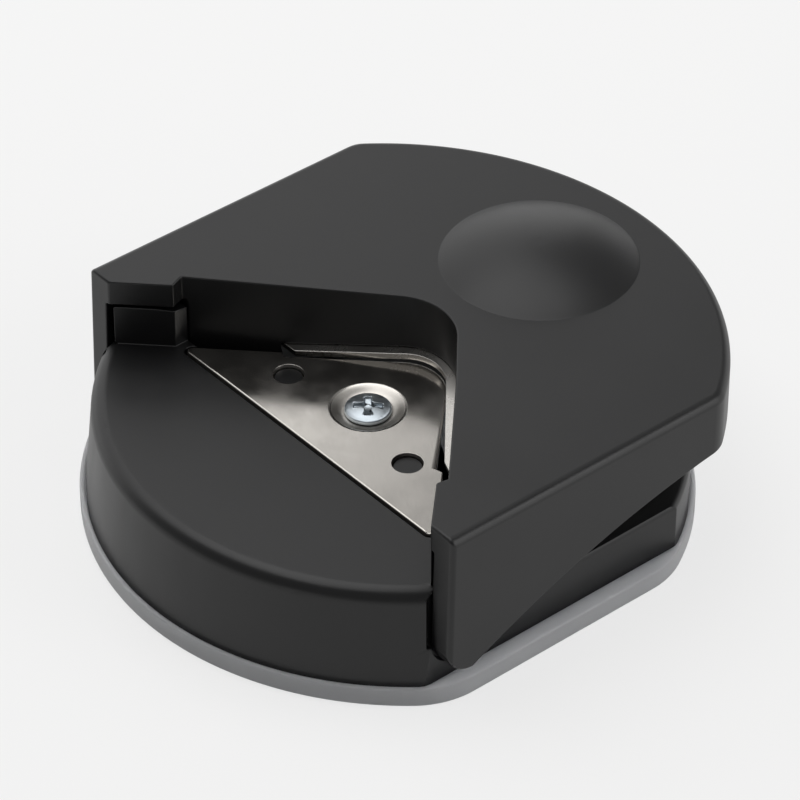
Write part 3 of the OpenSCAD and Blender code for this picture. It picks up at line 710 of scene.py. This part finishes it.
def headProfile(sizes):
    # half section of the head from the seat to the middle of the crown
    radius, height = sizes["headMm"] / 2, sizes["headHeightMm"]
    seat, side, crown = sizes["seatRoundMm"], sizes["sideMm"], sizes["crownMm"]
    neck, gap = sizes["neckMm"] / 2, sizes["gapMm"]
    points = [(neck, 0.0), (neck, gap), (radius - seat, gap)]
    for i in range(1, sizes["seatSteps"] + 1):
        turn = math.pi / 2 * i / sizes["seatSteps"]
        points.append((radius - seat + seat * math.sin(turn), gap + seat - seat * math.cos(turn)))
    shoulder, steps = height - crown - side, sizes["headSteps"]
    for i in range(steps + 1):
        turn = math.pi / 2 * i / steps
        points.append((radius - shoulder * (1 - math.cos(turn)), side + shoulder * math.sin(turn)))
    flat = radius - shoulder
    for i in range(1, steps + 1):
        share = 1 - i / steps
        points.append((flat * share, height - crown * share * share))
    return points


def taperedCutter(name, topSize, lowSize, topZ, lowZ, turn):
    corners = [(1, 1), (-1, 1), (-1, -1), (1, -1)]
    bm = bmesh.new()
    top = [bm.verts.new((x * topSize[0] / 2 * mm, y * topSize[1] / 2 * mm, topZ * mm)) for x, y in corners]
    low = [bm.verts.new((x * lowSize[0] / 2 * mm, y * lowSize[1] / 2 * mm, lowZ * mm)) for x, y in corners]
    bm.faces.new(top)
    bm.faces.new(list(reversed(low)))
    for i in range(4):
        bm.faces.new((low[i], low[(i + 1) % 4], top[(i + 1) % 4], top[i]))
    bmesh.ops.recalc_face_normals(bm, faces=bm.faces)
    bmesh.ops.rotate(bm, verts=bm.verts, matrix=Matrix.Rotation(math.radians(turn), 3, "Z"))
    return addMesh(name, bm)


def makeScrewPattern(sizes, shankLength):
    shank = sizes["shankMm"] / 2
    tip = -shankLength - shank
    profile = [(0.0, tip), (shank / 4, tip), (shank, -shankLength), (shank, 0.0)] + headProfile(sizes)
    bm = bmesh.new()
    line = [bm.verts.new((r * mm, 0, z * mm)) for r, z in profile]
    edges = [bm.edges.new(pair) for pair in zip(line, line[1:])]
    bmesh.ops.spin(bm, geom=line + edges, cent=(0, 0, 0), axis=(0, 0, 1),
                   angle=2 * math.pi, steps=sizes["around"])
    bmesh.ops.remove_doubles(bm, verts=bm.verts, dist=sizes["weldMm"] * mm)
    bmesh.ops.recalc_face_normals(bm, faces=bm.faces)
    pattern = addMesh("screwPattern", bm)
    # the arms and the hub of the cross narrow towards its floor
    above, arm, hub = sizes["aboveMm"], sizes["armMm"], sizes["hubMm"]
    top, low = sizes["headHeightMm"] + above, sizes["headHeightMm"] - sizes["crossDeepMm"]
    slope = math.tan(math.radians(sizes["tipSlope"]))
    start = sizes["crossMm"] + 2 * (above + sizes["crownMm"] * sizes["crownShare"]) * slope
    lost = 2 * (top - low) * slope
    arms = ((start, arm), (start - lost, arm * sizes["armTaper"]))
    hubs = ((hub, hub), (hub * sizes["hubTaper"], hub * sizes["hubTaper"]))
    cutters = [taperedCutter("armCutter", *arms, top, low, 0),
               taperedCutter("armCutter", *arms, top, low, 90),
               taperedCutter("hubCutter", *hubs, top, low - sizes["hubDeeperMm"], 45)]
    for cutter in cutters:
        cut = pattern.modifiers.new("recess", "BOOLEAN")
        cut.object = cutter
        cut.solver = "EXACT"
    rounding = pattern.modifiers.new("rounding", "BEVEL")
    rounding.width = sizes["edgeMm"] * mm
    rounding.segments = sizes["edgeSteps"]
    rounding.angle_limit = math.radians(sizes["edgeAngle"])
    rounding.use_clamp_overlap = False
    flattenNormals(pattern, sizes["flatWeight"])
    pattern.data.shade_smooth()
    for cutter in cutters:
        bpy.data.objects.remove(cutter)
    return pattern


def makeScrewPlaces():
    # puts the pattern on each point, turned by the point's own angles
    tree = newTree("screwPlaces", {
        "Places": "Geometry", "Screw": "Object", "Size": "Float", "Material": "Material"})
    given = addNode(tree, "NodeGroupInput").outputs
    screw = addNode(tree, "GeometryNodeObjectInfo", {"Object": given["Screw"]})
    turn = addNode(tree, "GeometryNodeInputNamedAttribute", {"Name": "turn"}, data_type="FLOAT_VECTOR")
    placed = addNode(tree, "GeometryNodeInstanceOnPoints", {
        "Points": given["Places"], "Instance": screw.outputs["Geometry"],
        "Rotation": turn.outputs["Attribute"], "Scale": given["Size"]})
    real = addNode(tree, "GeometryNodeRealizeInstances", {"Geometry": placed.outputs["Instances"]})
    painted = addNode(tree, "GeometryNodeSetMaterial", {
        "Geometry": real.outputs["Geometry"], "Material": given["Material"]})
    addNode(tree, "NodeGroupOutput", {"Geometry": painted.outputs["Geometry"]})
    return tree


def makeScrews(pieceName, sizes, tree):
    pattern = makeScrewPattern(screwSizes, sizes["shankLengthMm"])
    mesh = bpy.data.meshes.new(pieceName)
    mesh.from_pydata([Vector(place) * mm for place in sizes["placesMm"]], [], [])
    turns = mesh.attributes.new("turn", "FLOAT_VECTOR", "POINT")
    tilt = Matrix.Rotation(math.radians(sizes["tilt"]), 3, "X")
    for value, spin in zip(turns.data, sizes["spins"]):
        value.vector = (tilt @ Matrix.Rotation(math.radians(spin), 3, "Z")).to_euler()
    piece = addObject(pieceName, mesh)
    applyTree(piece, tree, {"Screw": pattern, "Size": 1.0, "Material": zincPlate})
    bpy.data.objects.remove(pattern)
    return piece


screwPlaces = makeScrewPlaces()
dieScrew = makeScrews("dieScrew", dieScrewSizes, screwPlaces)
placePiece(dieScrew, zincPlate, "base", "zinc_plated_steel", "die_screw")
bladeScrews = makeScrews("bladeScrews", bladeScrewSizes, screwPlaces)
placePiece(bladeScrews, zincPlate, "lever", "zinc_plated_steel", "blade_screws")


# return spring: a wound wire whose end turns lie close, made along a spiral

springSizes = {"outerMm": 10.0, "wireMm": 1.0, "turns": 5.0, "endTurns": 1.0, "endPitchMm": 1.08,
               "backMm": 20.0, "pressedShare": 0.545, "narrowing": 0.1, "leanMm": 0.45}


def makeWinding():
    # lifts a flat spiral into a spring: slowly over the end turns, evenly over the open ones
    tree = newTree("woundSpring", {
        "Radius": "Float", "Wire": "Float", "Turns": "Float", "End Turns": "Float", "End Pitch": "Float",
        "Height": "Float", "Material": "Material"})
    given = addNode(tree, "NodeGroupInput").outputs
    spiral = addNode(tree, "GeometryNodeCurveSpiral", {
        "Resolution": 48, "Rotations": given["Turns"], "Start Radius": given["Radius"],
        "End Radius": given["Radius"], "Height": 0.0})
    along = addNode(tree, "GeometryNodeSplineParameter")
    turn = addNode(tree, "ShaderNodeMath", {0: along.outputs["Factor"], 1: given["Turns"]},
                   operation="MULTIPLY")
    left = addNode(tree, "ShaderNodeMath", {0: given["Turns"], 1: turn.outputs[0]}, operation="SUBTRACT")
    lowEnd = addNode(tree, "ShaderNodeMath", {0: turn.outputs[0], 1: given["End Turns"]},
                     operation="MINIMUM")
    highEnd = addNode(tree, "ShaderNodeMath", {0: left.outputs[0], 1: given["End Turns"]},
                      operation="MINIMUM")
    endRise = addNode(tree, "ShaderNodeMath", {0: given["End Turns"], 1: given["End Pitch"]},
                      operation="MULTIPLY")
    bothEnds = addNode(tree, "ShaderNodeMath", {0: endRise.outputs[0], 1: 2.0}, operation="MULTIPLY")
    openRise = addNode(tree, "ShaderNodeMath", {0: given["Height"], 1: bothEnds.outputs[0]},
                       operation="SUBTRACT")
    openEnd = addNode(tree, "ShaderNodeMath", {0: given["Turns"], 1: given["End Turns"]},
                      operation="SUBTRACT")
    share = addNode(tree, "ShaderNodeMapRange", {
        "Value": turn.outputs[0], "From Min": given["End Turns"], "From Max": openEnd.outputs[0],
        "To Min": 0.0, "To Max": openRise.outputs[0]})
    lowRise = addNode(tree, "ShaderNodeMath", {0: lowEnd.outputs[0], 1: given["End Pitch"]},
                      operation="MULTIPLY")
    highGone = addNode(tree, "ShaderNodeMath", {0: given["End Turns"], 1: highEnd.outputs[0]},
                       operation="SUBTRACT")
    highRise = addNode(tree, "ShaderNodeMath", {0: highGone.outputs[0], 1: given["End Pitch"]},
                       operation="MULTIPLY")
    endSum = addNode(tree, "ShaderNodeMath", {0: lowRise.outputs[0], 1: highRise.outputs[0]},
                     operation="ADD")
    rise = addNode(tree, "ShaderNodeMath", {0: endSum.outputs[0], 1: share.outputs["Result"]},
                   operation="ADD")
    lift = addNode(tree, "ShaderNodeCombineXYZ", {"Z": rise.outputs[0]})
    wound = addNode(tree, "GeometryNodeSetPosition", {
        "Geometry": spiral.outputs["Curve"], "Offset": lift.outputs[0]})
    wireEnd = addNode(tree, "GeometryNodeCurvePrimitiveCircle", {"Resolution": 16, "Radius": given["Wire"]})
    wire = addNode(tree, "GeometryNodeCurveToMesh", {
        "Curve": wound.outputs["Geometry"], "Profile Curve": wireEnd.outputs["Curve"], "Fill Caps": True})
    smooth = addNode(tree, "GeometryNodeSetShadeSmooth", {"Geometry": wire.outputs["Mesh"]})
    real = addNode(tree, "GeometryNodeRealizeInstances", {"Geometry": smooth.outputs["Geometry"]})
    painted = addNode(tree, "GeometryNodeSetMaterial", {
        "Geometry": real.outputs["Geometry"], "Material": given["Material"]})
    addNode(tree, "NodeGroupOutput", {"Geometry": painted.outputs["Geometry"]})
    return tree


def makeSpring(sizes):
    low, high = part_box("return_spring")
    wireRadius = sizes["wireMm"] / 2 * mm
    spring = addObject("returnSpring", bpy.data.meshes.new("returnSpring"))
    applyTree(spring, makeWinding(), {
        "Radius": sizes["outerMm"] / 2 * mm - wireRadius, "Wire": wireRadius, "Turns": sizes["turns"],
        "End Turns": sizes["endTurns"], "End Pitch": sizes["endPitchMm"] * mm,
        "Height": high.z - low.z - 2 * wireRadius, "Material": springSteel})
    # it narrows and leans back a little, so that the lever's socket tilts down around it
    for point in spring.data.vertices:
        share = point.co.z / (high.z - low.z)
        narrower = 1 - sizes["narrowing"] * share
        point.co.x *= narrower
        point.co.y = point.co.y * narrower + sizes["leanMm"] * mm * share
    spring.data.transform(Matrix.Translation((0, sizes["backMm"] * mm, low.z + wireRadius)))
    placePiece(spring, springSteel, "base", "spring_wire", "return_spring")
    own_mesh(spring)


makeSpring(springSizes)


# stage

stageSizes = {"floorM": 3.0, "floorColour": "#ececeb", "whiteShare": 0.73, "mirrorShare": 0.42, "white": 0.96,
              "coveredMm": (24.0, 27.0), "lowerMm": 0.02, "backdrop": 0.9, "room": 0.26}


def makeFloor(sizes):
    half, z = sizes["floorM"] / 2, -sizes["lowerMm"] * mm
    corners = ((-half, -half), (half, -half), (half, half), (-half, half))
    mesh = bpy.data.meshes.new("floor")
    mesh.from_pydata([(x, y, z) for x, y in corners], [], [(0, 1, 2, 3)])
    floor = addObject("floor", mesh)
    material, tree = newMaterial("matt white table")
    shader = addNode(tree, "ShaderNodeBsdfPrincipled", {
        "Base Color": linear(sizes["floorColour"]), "Roughness": 0.7, "Specular IOR Level": 0.2})
    # seen directly, mirrored or through clear plastic, the table is nearly white and keeps its shadow;
    # through the tray it is dark where the punch covers it
    path = addNode(tree, "ShaderNodeLightPath").outputs
    place = addNode(tree, "ShaderNodeTexCoord")
    away = addNode(tree, "ShaderNodeVectorMath", {0: place.outputs["Object"]}, operation="LENGTH")
    covered, clear = sizes["coveredMm"]
    uncovered = addNode(tree, "ShaderNodeMapRange", {
        "Value": away.outputs["Value"], "From Min": covered * mm, "From Max": clear * mm,
        "To Min": 0.0, "To Max": 1.0})
    through = addNode(tree, "ShaderNodeMath", {
        0: path["Is Transmission Ray"], 1: uncovered.outputs["Result"]}, operation="MULTIPLY")
    seen = addNode(tree, "ShaderNodeMath", {
        0: path["Is Camera Ray"], 1: through.outputs[0]}, operation="MAXIMUM")
    direct = addNode(tree, "ShaderNodeMath", {
        0: seen.outputs[0], 1: sizes["whiteShare"]}, operation="MULTIPLY")
    mirrored = addNode(tree, "ShaderNodeMath", {
        0: path["Is Glossy Ray"], 1: sizes["mirrorShare"]}, operation="MULTIPLY")
    share = addNode(tree, "ShaderNodeMath", {
        0: direct.outputs[0], 1: mirrored.outputs[0]}, operation="MAXIMUM")
    white = addNode(tree, "ShaderNodeEmission", {"Color": (1, 1, 1, 1), "Strength": sizes["white"]})
    table = addNode(tree, "ShaderNodeMixShader", {
        0: share.outputs[0], 1: shader.outputs[0], 2: white.outputs[0]})
    addNode(tree, "ShaderNodeOutputMaterial", {"Surface": table.outputs[0]})
    mesh.materials.append(material)


def makeRoom(sizes):
    world = bpy.data.worlds.new("studio")
    world.use_nodes = True
    tree = world.node_tree
    tree.nodes.clear()
    # past the table's edge the backdrop looks as white as the table
    path = addNode(tree, "ShaderNodeLightPath").outputs
    seen = addNode(tree, "ShaderNodeMath", {
        0: path["Is Camera Ray"], 1: path["Is Transmission Ray"]}, operation="MAXIMUM")
    level = addNode(tree, "ShaderNodeMapRange", {
        "Value": seen.outputs[0], "To Min": sizes["room"], "To Max": sizes["backdrop"]})
    glow = addNode(tree, "ShaderNodeBackground", {
        "Color": (1, 1, 1, 1), "Strength": level.outputs["Result"]})
    addNode(tree, "ShaderNodeOutputWorld", {"Surface": glow.outputs[0]})
    scene.world = world


# places, aims and sizes in metres, power in watts
softboxes = {
    "overhead": {"place": (-0.225, -0.02, 0.66), "aim": (-0.225, -0.02, 0),
                 "size": (0.65, 0.68), "power": 2.43},
    "leftPanel": {"place": (-0.4, 0.125, 0.225), "aim": (0, 0.125, 0.225),
                  "size": (0.85, 0.45), "power": 1.01},
    "rearPanel": {"place": (-0.05, 0.75, 0.15), "aim": (-0.05, 0, 0.15),
                  "size": (0.9, 0.3), "power": 0.68},
    "rightPanel": {"place": (0.55, 0.32, 0.17), "aim": (0, 0, 0.05),
                   "size": (0.6, 0.34), "power": 1.0},
    "rightHigh": {"place": (0.53, 0.43, 0.51), "aim": (0, 0, 0),
                  "size": (0.5, 0.25), "power": 1.1}}


def addSoftbox(name, place, aim, size, power):
    light = bpy.data.lights.new(name, "AREA")
    light.shape = "RECTANGLE"
    light.size, light.size_y = size
    light.energy = power
    lamp = addObject(name, light)
    lamp.location = place
    lamp.rotation_euler = (Vector(aim) - Vector(place)).to_track_quat("-Z", "Y").to_euler()
    lamp.visible_camera = False


makeFloor(stageSizes)
makeRoom(stageSizes)
for name, softbox in softboxes.items():
    addSoftbox(name, **softbox)
print("corner punch: floor and lights set")


# camera, at the photograph's angle

cameraSizes = {"azimuth": 49.952, "elevation": 38.258, "distanceMm": 485.503, "aimMm": (-2.645, 2.458, 10.0),
               "lensMm": 202.5, "sensorMm": 36.0, "clipM": (0.01, 20.0)}


def makeCamera(sizes):
    turn, rise = math.radians(sizes["azimuth"]), math.radians(sizes["elevation"])
    back = Vector((math.sin(turn) * math.cos(rise), -math.cos(turn) * math.cos(rise), math.sin(rise)))
    data = bpy.data.cameras.new("camera")
    data.lens, data.sensor_width = sizes["lensMm"], sizes["sensorMm"]
    data.clip_start, data.clip_end = sizes["clipM"]
    camera = addObject("camera", data)
    camera.location = (Vector(sizes["aimMm"]) + back * sizes["distanceMm"]) * mm
    camera.rotation_euler = (-back).to_track_quat("-Z", "Y").to_euler()
    scene.camera = camera


makeCamera(cameraSizes)
scene.view_settings.view_transform = "Standard"
